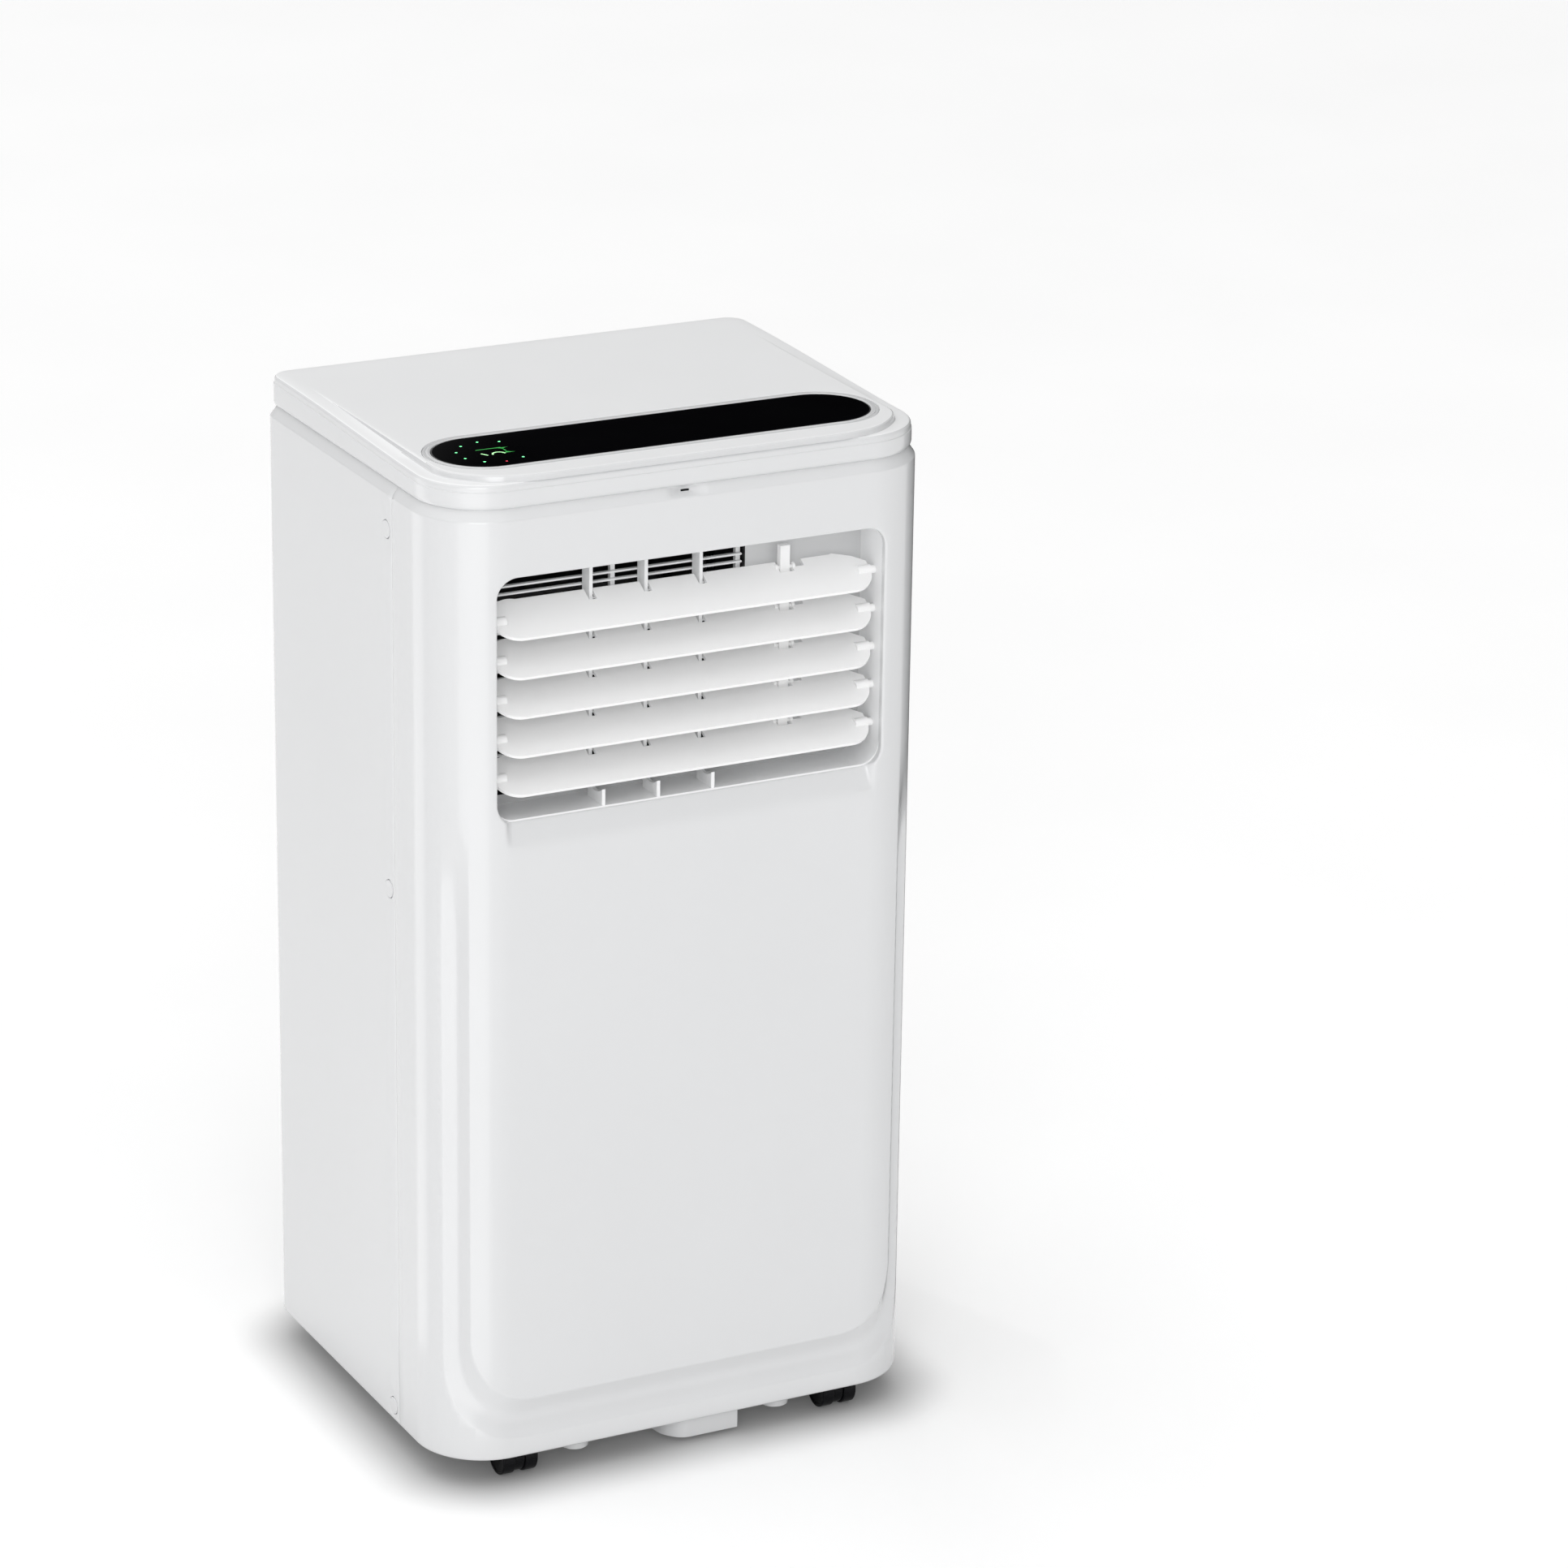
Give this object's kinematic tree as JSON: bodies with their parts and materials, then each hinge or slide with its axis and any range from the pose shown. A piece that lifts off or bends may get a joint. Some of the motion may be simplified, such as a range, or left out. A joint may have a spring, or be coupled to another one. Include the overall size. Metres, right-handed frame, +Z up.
{
  "type": "portable air conditioner",
  "caption": "Upright portable air conditioner on casters, with a louvred front air outlet, a touch display on the lid, rear intake grilles and a hose outlet.",
  "frame": {"origin": "centre of the overall box on the floor, under the middle of the cabinet", "axes": "+X to the right seen from the front, +Y to the back, +Z up"},
  "size_m": [0.3304, 0.28, 0.6496],
  "materials": {
    "white_plastic": "satin gloss",
    "pale_plastic": "matte",
    "black_glass": "polished",
    "lit_marks": "lit",
    "circuit_board": "matte",
    "black_plastic": "fine texture",
    "caster_black": "satin",
    "bright_metal": "satin",
    "filter_net": "woven",
    "grey_plastic": "matte",
    "black_steel": "satin",
    "rubber_black": "matte",
    "fin_aluminium": "satin",
    "copper": "satin"
  },
  "bodies": {
    "cabinet": {"base_pan": "pale_plastic", "drain_well": "pale_plastic", "front_cover": "white_plastic", "rear_cover": "white_plastic", "top_lid": "white_plastic", "display_bezel": "pale_plastic", "display_glass": "black_glass", "display_lights": "lit_marks", "display_board": "circuit_board", "remote_receiver": "black_plastic", "outlet_frame": "white_plastic", "outlet_guard": "white_plastic", "swing_motor": "bright_metal", "seam_screws": "white_plastic", "rear_screws": "bright_metal", "exhaust_collar": "pale_plastic", "exhaust_duct": "grey_plastic", "cord_gland": "black_plastic", "compressor": "black_steel", "compressor_feet": "rubber_black", "accumulator": "black_steel", "condenser_coil": "fin_aluminium", "evaporator_coil": "fin_aluminium", "evaporator_scroll": "black_plastic", "evaporator_motor": "bright_metal", "condenser_scroll": "grey_plastic", "condenser_motor": "bright_metal", "drip_tray": "grey_plastic", "splash_motor": "bright_metal", "control_box": "grey_plastic", "main_board": "circuit_board", "run_capacitor": "bright_metal", "suction_pipe": "copper", "discharge_pipe": "copper", "capillary_tube": "copper"},
    "blade_1": {"louvre_1": "white_plastic"},
    "blade_2": {"louvre_2": "white_plastic"},
    "blade_3": {"louvre_3": "white_plastic"},
    "blade_4": {"louvre_4": "white_plastic"},
    "blade_5": {"louvre_5": "white_plastic"},
    "blade_link": {"louvre_link": "white_plastic"},
    "caster_fl": {"caster_fork_fl": "caster_black"},
    "wheels_fl": {"caster_wheels_fl": "caster_black"},
    "caster_fr": {"caster_fork_fr": "caster_black"},
    "wheels_fr": {"caster_wheels_fr": "caster_black"},
    "caster_rl": {"caster_fork_rl": "caster_black"},
    "wheels_rl": {"caster_wheels_rl": "caster_black"},
    "caster_rr": {"caster_fork_rr": "caster_black"},
    "wheels_rr": {"caster_wheels_rr": "caster_black"},
    "upper_panel": {"upper_grille": "white_plastic", "upper_filter": "filter_net"},
    "lower_panel": {"lower_grille": "white_plastic", "lower_filter": "filter_net"},
    "upper_plug": {"upper_drain_plug": "black_plastic"},
    "lower_plug": {"lower_drain_plug": "black_plastic"},
    "cold_blower": {"evaporator_blower": "black_plastic"},
    "hot_blower": {"condenser_blower": "black_plastic"},
    "slinger": {"splash_wheel": "white_plastic"}
  },
  "joints": [
    {"name": "blade_1_tilt", "type": "hinge", "parent": "cabinet", "child": "blade_1", "pos_m": [0, -0.1236, 0.5569], "axis": [1, 0, 0], "range_deg": [-30, 20]},
    {"name": "blade_2_tilt", "type": "hinge", "parent": "cabinet", "child": "blade_2", "pos_m": [0, -0.1236, 0.5324], "axis": [1, 0, 0], "range_deg": [-30, 20]},
    {"name": "blade_3_tilt", "type": "hinge", "parent": "cabinet", "child": "blade_3", "pos_m": [0, -0.1236, 0.5079], "axis": [1, 0, 0], "range_deg": [-30, 20]},
    {"name": "blade_4_tilt", "type": "hinge", "parent": "cabinet", "child": "blade_4", "pos_m": [0, -0.1236, 0.4834], "axis": [1, 0, 0], "range_deg": [-30, 20]},
    {"name": "blade_5_tilt", "type": "hinge", "parent": "cabinet", "child": "blade_5", "pos_m": [0, -0.1236, 0.4589], "axis": [1, 0, 0], "range_deg": [-30, 20]},
    {"name": "link_swing", "type": "hinge", "parent": "blade_3", "child": "blade_link", "pos_m": [0.0722, -0.11364, 0.51365], "axis": [1, 0, 0], "range_deg": [-20, 30]},
    {"name": "caster_fl_swivel", "type": "hinge", "parent": "cabinet", "child": "caster_fl", "pos_m": [-0.1115, -0.1145, 0.035], "axis": [0, 0, 1], "continuous": true},
    {"name": "wheels_fl_roll", "type": "hinge", "parent": "caster_fl", "child": "wheels_fl", "pos_m": [-0.1115, -0.1215, 0.012], "axis": [1, 0, 0], "continuous": true},
    {"name": "caster_fr_swivel", "type": "hinge", "parent": "cabinet", "child": "caster_fr", "pos_m": [0.1115, -0.1145, 0.035], "axis": [0, 0, 1], "continuous": true},
    {"name": "wheels_fr_roll", "type": "hinge", "parent": "caster_fr", "child": "wheels_fr", "pos_m": [0.1115, -0.1215, 0.012], "axis": [1, 0, 0], "continuous": true},
    {"name": "caster_rl_swivel", "type": "hinge", "parent": "cabinet", "child": "caster_rl", "pos_m": [-0.1115, 0.096, 0.035], "axis": [0, 0, 1], "continuous": true},
    {"name": "wheels_rl_roll", "type": "hinge", "parent": "caster_rl", "child": "wheels_rl", "pos_m": [-0.1115, 0.089, 0.012], "axis": [1, 0, 0], "continuous": true},
    {"name": "caster_rr_swivel", "type": "hinge", "parent": "cabinet", "child": "caster_rr", "pos_m": [0.1115, 0.096, 0.035], "axis": [0, 0, 1], "continuous": true},
    {"name": "wheels_rr_roll", "type": "hinge", "parent": "caster_rr", "child": "wheels_rr", "pos_m": [0.1115, 0.089, 0.012], "axis": [1, 0, 0], "continuous": true},
    {"name": "upper_panel_pull", "type": "slide", "parent": "cabinet", "child": "upper_panel", "axis": [0, 1, 0], "range_m": [0, 0.06]},
    {"name": "lower_panel_pull", "type": "slide", "parent": "cabinet", "child": "lower_panel", "axis": [0, 1, 0], "range_m": [0, 0.06]},
    {"name": "upper_plug_pull", "type": "slide", "parent": "cabinet", "child": "upper_plug", "axis": [0, 1, 0], "range_m": [0, 0.03]},
    {"name": "lower_plug_pull", "type": "slide", "parent": "cabinet", "child": "lower_plug", "axis": [0, 1, 0], "range_m": [0, 0.03]},
    {"name": "cold_blower_spin", "type": "hinge", "parent": "cabinet", "child": "cold_blower", "pos_m": [-0.038, 0.012, 0.484], "axis": [1, 0, 0], "continuous": true},
    {"name": "hot_blower_spin", "type": "hinge", "parent": "cabinet", "child": "hot_blower", "pos_m": [0.052, 0.054, 0.165], "axis": [0, 1, 0], "continuous": true},
    {"name": "slinger_spin", "type": "hinge", "parent": "cabinet", "child": "slinger", "pos_m": [-0.038, 0.078, 0.044], "axis": [1, 0, 0], "continuous": true}
  ],
  "couplings": [
    {"joint": "blade_1_tilt", "follows": "blade_3_tilt", "ratio": 1},
    {"joint": "blade_2_tilt", "follows": "blade_3_tilt", "ratio": 1},
    {"joint": "blade_4_tilt", "follows": "blade_3_tilt", "ratio": 1},
    {"joint": "blade_5_tilt", "follows": "blade_3_tilt", "ratio": 1},
    {"joint": "link_swing", "follows": "blade_3_tilt", "ratio": -1}
  ]
}
